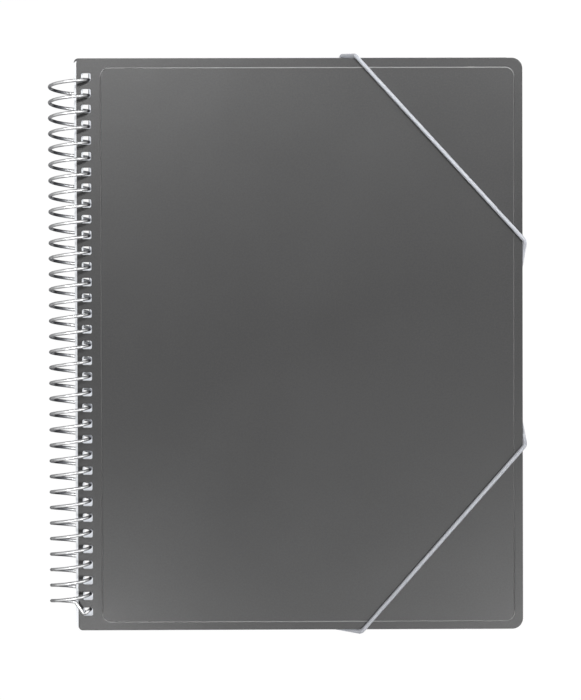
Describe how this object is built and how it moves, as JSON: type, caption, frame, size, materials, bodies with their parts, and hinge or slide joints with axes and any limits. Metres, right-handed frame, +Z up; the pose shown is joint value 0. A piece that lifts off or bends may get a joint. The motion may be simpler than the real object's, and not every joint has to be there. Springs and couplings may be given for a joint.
{
  "type": "display book",
  "caption": "Spiral bound display book with opaque covers, clear pocket sheets and elastic bands across the fore corners.",
  "frame": {"origin": "on the table, under the middle of the closed book's box", "axes": "+X from the spine to the fore edge, +Y up the page, +Z up from the table"},
  "size_m": [0.2576, 0.3137, 0.023],
  "materials": {
    "cover": "satin grey polypropylene sheet",
    "pockets": "milky clear film in a stack",
    "wire": "bright plated round wire",
    "band": "light grey braided elastic",
    "clip": "plain flat metal"
  },
  "bodies": {
    "back": {"back_cover": "cover", "wire_spiral": "wire", "upper_band": "band", "lower_band": "band", "upper_band_top_clip": "clip", "upper_band_side_clip": "clip", "lower_band_bottom_clip": "clip", "lower_band_side_clip": "clip"},
    "pockets": {"pocket_sheets": "pockets"},
    "front": {"front_cover": "cover"}
  },
  "joints": [
    {"name": "pockets_hinge", "type": "hinge", "parent": "back", "child": "pockets", "pos_m": [-0.11733, 0, 0.0115], "axis": [0, -1, 0], "range_deg": [0, 180], "deforming": ["wire_spiral", "upper_band", "lower_band"]},
    {"name": "front_cover_hinge", "type": "hinge", "parent": "pockets", "child": "front", "pos_m": [-0.11733, 0, 0.0115], "axis": [0, -1, 0], "range_deg": [0, 180], "deforming": ["wire_spiral", "upper_band", "lower_band"]}
  ]
}
